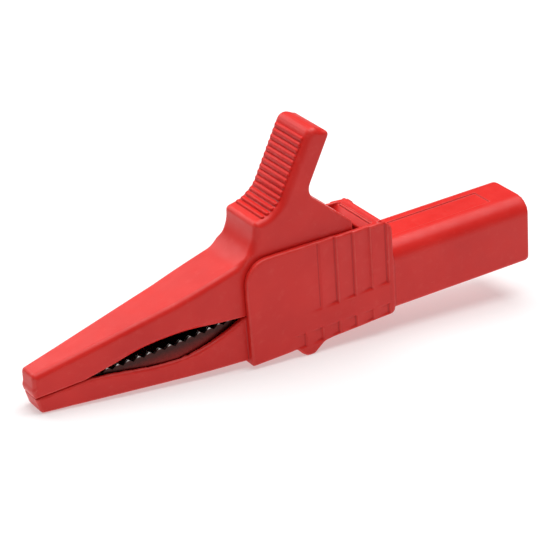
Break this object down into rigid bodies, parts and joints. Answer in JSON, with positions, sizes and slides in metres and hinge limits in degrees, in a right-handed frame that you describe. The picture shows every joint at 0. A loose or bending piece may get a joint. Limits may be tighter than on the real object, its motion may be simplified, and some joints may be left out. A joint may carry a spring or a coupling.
{
  "type": "insulated crocodile test clip",
  "caption": "Fully insulated crocodile test clip with a sprung toothed upper jaw, a ridged thumb tab, a grooved grip and a square barrel with a shrouded 4 mm socket.",
  "frame": {"origin": "centre of the mouth of the contact's 4 mm bore, 2 mm inside the barrel's rear face", "axes": "+X out of the socket, the way the plug leaves; the jaws point along -X; +Y across the clip; +Z towards the thumb tab"},
  "size_m": [0.0933, 0.0122, 0.039],
  "materials": {
    "red_plastic": "satin moulded nylon",
    "nickel_plate": "nickel-plated steel strip",
    "pin_steel": "ground steel",
    "spring_steel": "bright spring wire",
    "bush_nylon": "natural nylon",
    "nickel_brass": "nickel-plated turned brass",
    "screw_zinc": "zinc-plated",
    "rivet_steel": "nickel-plated"
  },
  "bodies": {
    "housing": {"body_shell": "red_plastic", "fixed_jaw": "nickel_plate", "pivot_pin": "pin_steel", "spring_bush": "bush_nylon", "torsion_spring": "spring_steel", "contact_socket": "nickel_brass", "socket_sleeve": "red_plastic", "socket_screw": "screw_zinc", "lock_washer": "spring_steel"},
    "lever": {"lever_shell": "red_plastic", "moving_jaw": "nickel_plate", "jaw_rivet": "rivet_steel"}
  },
  "joints": [
    {"name": "lever_hinge", "type": "hinge", "parent": "housing", "child": "lever", "pos_m": [-0.044, 0, 0.003], "axis": [0, 1, 0], "range_deg": [0, 32], "stiffness_Nm_per_rad": 0.146, "springref_deg": -60.16, "deforming": ["torsion_spring"]}
  ]
}
